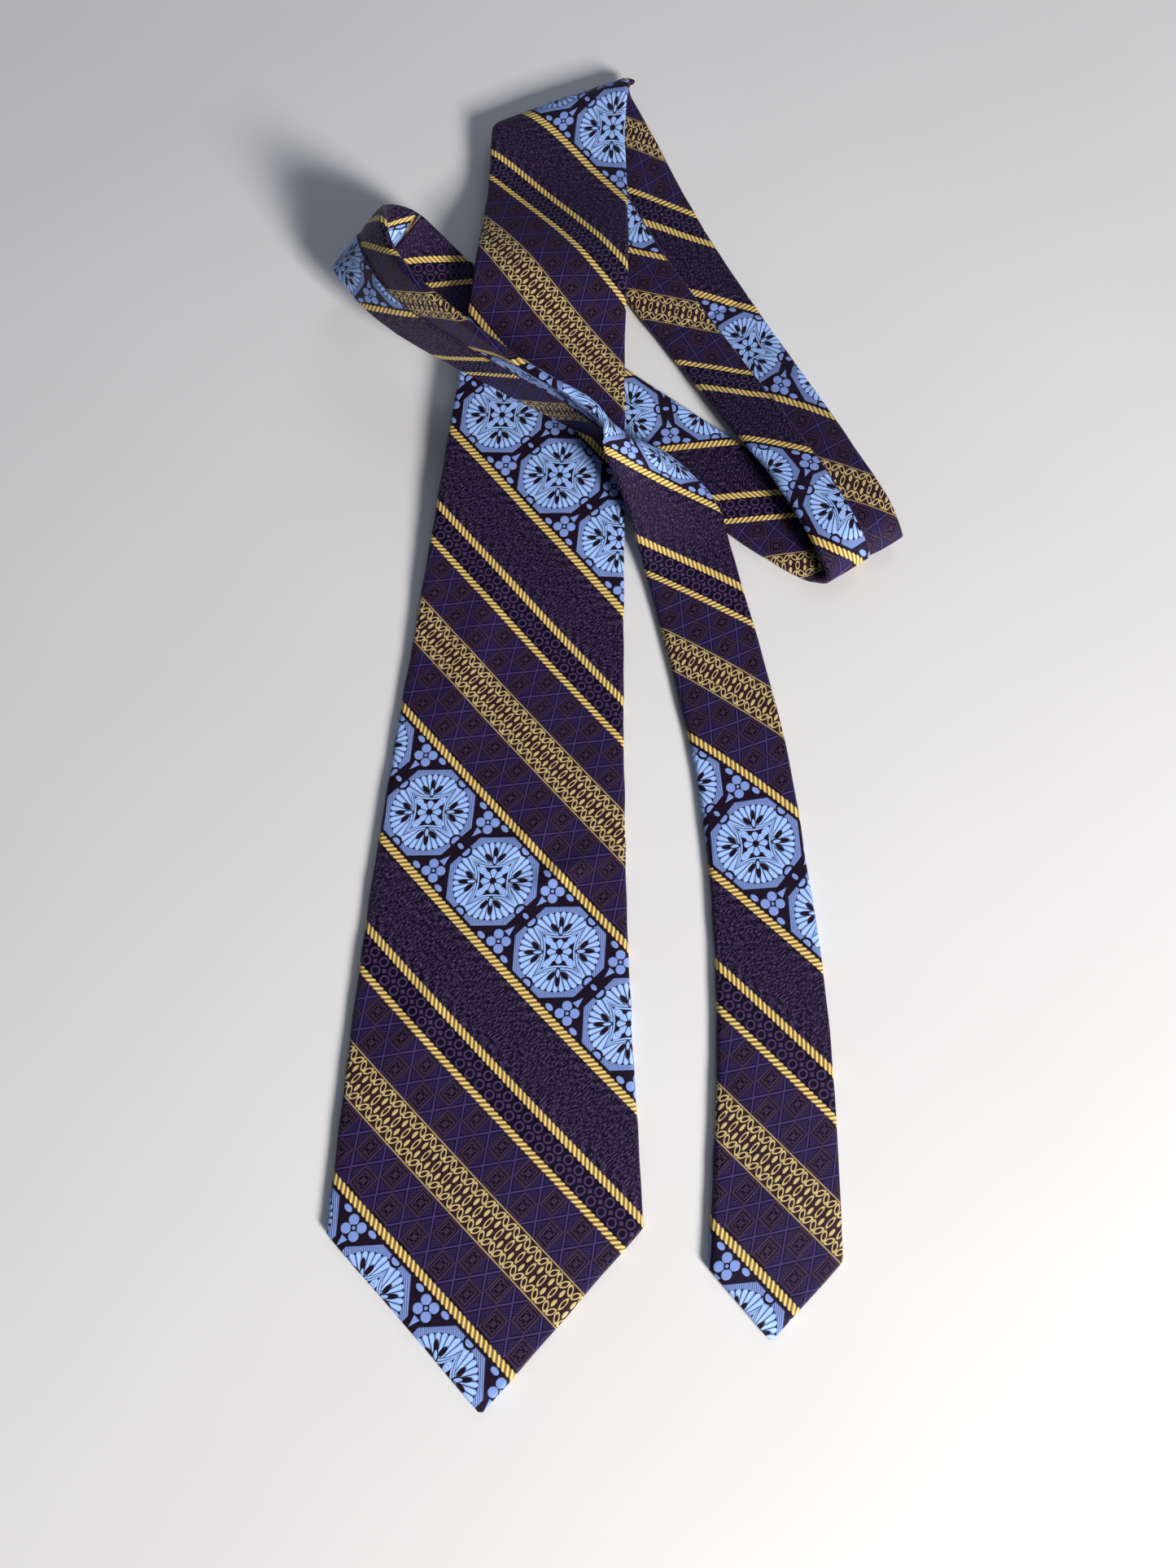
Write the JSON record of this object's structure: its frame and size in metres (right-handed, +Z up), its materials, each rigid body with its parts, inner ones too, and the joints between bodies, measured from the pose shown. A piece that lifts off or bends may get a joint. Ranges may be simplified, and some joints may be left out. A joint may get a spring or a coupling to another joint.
{
  "type": "necktie",
  "caption": "Wide jacquard necktie with diagonal stripes, laid down in loose folds, built of shell, interlining, tippings, keeper loop and stitching.",
  "frame": {"origin": "middle of the outline of the laid-down tie, on the surface that it lies on", "axes": "+Z up, the face of the wide blade looks up; +Y from the blade's tip towards its top fold; +X towards the side with the narrow end"},
  "size_m": [0.2121, 0.5006, 0.0479],
  "materials": {
    "jacquard": "woven silk jacquard, dark purple ground with gold cords and blue medallions",
    "interlining": "napped wool blend",
    "tipping": "plain satin lining",
    "thread": "twisted sewing thread"
  },
  "bodies": {
    "tie_body": {"blade_shell_upper": "jacquard", "neck_shell": "jacquard", "tail_shell_upper": "jacquard", "blade_interlining_upper": "interlining", "tail_interlining_upper": "interlining", "slip_stitch_middle": "thread", "blade_neck_seam": "thread", "neck_tail_seam": "thread", "keeper_loop": "jacquard", "keeper_stitch_left": "thread", "keeper_stitch_right": "thread"},
    "blade_end": {"blade_shell_lower": "jacquard", "blade_interlining_lower": "interlining", "blade_tipping": "tipping", "slip_stitch_blade": "thread", "blade_bar_tack": "thread"},
    "tail_end": {"tail_shell_lower": "jacquard", "tail_interlining_lower": "interlining", "tail_tipping": "tipping", "slip_stitch_tail": "thread", "tail_bar_tack": "thread"}
  },
  "joints": [
    {"name": "blade_lift", "type": "hinge", "parent": "tie_body", "child": "blade_end", "pos_m": [-0.03567, -0.04189, 0.003], "axis": [-0.9994, 0.0345, 0], "range_deg": [0, 150]},
    {"name": "tail_lift", "type": "hinge", "parent": "tie_body", "child": "tail_end", "pos_m": [0.04034, -0.02294, 0.003], "axis": [-0.9908, 0.1357, 0], "range_deg": [0, 150]}
  ]
}
